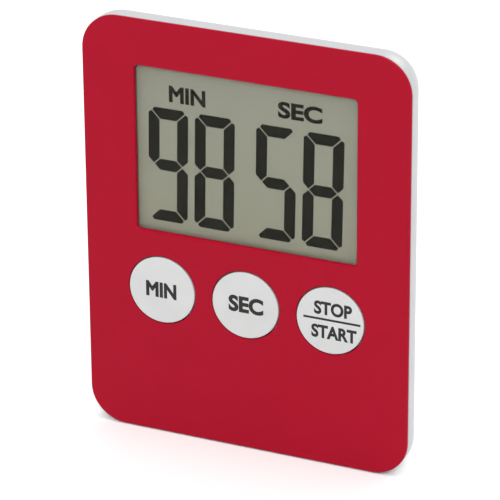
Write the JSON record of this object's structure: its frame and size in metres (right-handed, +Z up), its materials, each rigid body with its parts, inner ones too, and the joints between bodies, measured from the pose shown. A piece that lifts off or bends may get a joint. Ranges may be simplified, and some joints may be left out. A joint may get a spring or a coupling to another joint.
{
  "type": "kitchen timer",
  "caption": "Slim upright digital kitchen timer: red rounded face, recessed LCD, round push buttons, magnetic pale back with twist-lock battery door.",
  "frame": {"origin": "centre of the magnet's face, the part of the back that touches the steel it hangs on", "axes": "+Z up, +X to the right of someone facing the display, +Y out of the back towards the surface it hangs on; the display faces -Y"},
  "size_m": [0.0662, 0.0092, 0.085],
  "materials": {
    "red_shell": "satin moulded ABS",
    "grey_cover": "satin moulded ABS",
    "button_plastic": "fine matt moulded ABS",
    "polariser_film": "tinted polarising film",
    "display_glass": "clear sheet glass",
    "segment_black": "switched-on liquid crystal",
    "edge_seal": "cured epoxy",
    "display_ground": "grey-green polarised glass",
    "reflector_film": "silvery reflective film",
    "foam": "closed-cell foam",
    "zebra_rubber": "striped conductive silicone",
    "board_laminate": "green solder-masked laminate",
    "carbon_ink": "printed carbon ink",
    "chip_resin": "glossy black epoxy drop",
    "crystal_can": "plain metal can",
    "capacitor_ceramic": "tan ceramic",
    "resistor_ceramic": "black glazed ceramic",
    "keypad_silicone": "translucent grey silicone",
    "carbon_rubber": "carbon-filled silicone",
    "buzzer_brass": "rolled brass",
    "piezo_ceramic": "silvered ceramic",
    "wire_red": "PVC insulation",
    "wire_black": "PVC insulation",
    "cell_steel": "nickel-plated steel",
    "cell_nylon": "nylon seal",
    "contact_metal": "nickel-plated spring metal",
    "ferrite": "ground dark ferrite",
    "glue_film": "adhesive film",
    "screw_steel": "zinc-plated steel"
  },
  "bodies": {
    "housing": {"front_shell": "red_shell", "rear_cover": "grey_cover", "lcd_front_polariser": "polariser_film", "lcd_front_glass": "display_glass", "lcd_segments": "segment_black", "lcd_edge_seal": "edge_seal", "lcd_rear_glass": "display_ground", "lcd_reflector": "reflector_film", "lcd_foam_pad": "foam", "zebra_connector": "zebra_rubber", "circuit_board": "board_laminate", "board_key_contacts": "carbon_ink", "chip_resin_cover": "chip_resin", "clock_crystal": "crystal_can", "chip_capacitors": "capacitor_ceramic", "chip_resistors": "resistor_ceramic", "keypad_mat": "keypad_silicone", "buzzer_disc": "buzzer_brass", "buzzer_ceramic": "piezo_ceramic", "buzzer_wire_red": "wire_red", "buzzer_wire_black": "wire_black", "cell_can": "cell_steel", "cell_cap": "cell_steel", "cell_gasket": "cell_nylon", "negative_contact": "contact_metal", "positive_contact": "contact_metal", "magnet": "ferrite", "magnet_glue": "glue_film", "case_screws": "screw_steel", "board_screws": "screw_steel", "key_dome_min": "keypad_silicone", "key_dome_sec": "keypad_silicone", "key_dome_start_stop": "keypad_silicone"},
    "min_key": {"button_min": "button_plastic", "key_plunger_min": "keypad_silicone", "carbon_pill_min": "carbon_rubber"},
    "sec_key": {"button_sec": "button_plastic", "key_plunger_sec": "keypad_silicone", "carbon_pill_sec": "carbon_rubber"},
    "start_stop_key": {"button_start_stop": "button_plastic", "key_plunger_start_stop": "keypad_silicone", "carbon_pill_start_stop": "carbon_rubber"},
    "door": {"battery_door": "grey_cover"}
  },
  "joints": [
    {"name": "min_press", "type": "slide", "parent": "housing", "child": "min_key", "axis": [0, 1, 0], "range_m": [0, 0.0005], "stiffness_N_per_m": 1500, "deforming": ["key_dome_min"]},
    {"name": "sec_press", "type": "slide", "parent": "housing", "child": "sec_key", "axis": [0, 1, 0], "range_m": [0, 0.0005], "stiffness_N_per_m": 1500, "deforming": ["key_dome_sec"]},
    {"name": "start_stop_press", "type": "slide", "parent": "housing", "child": "start_stop_key", "axis": [0, 1, 0], "range_m": [0, 0.0005], "stiffness_N_per_m": 1500, "deforming": ["key_dome_start_stop"]},
    {"name": "door_twist", "type": "hinge", "parent": "housing", "child": "door", "pos_m": [0, -0.002, -0.0285], "axis": [0, 1, 0], "range_deg": [0, 50]}
  ]
}
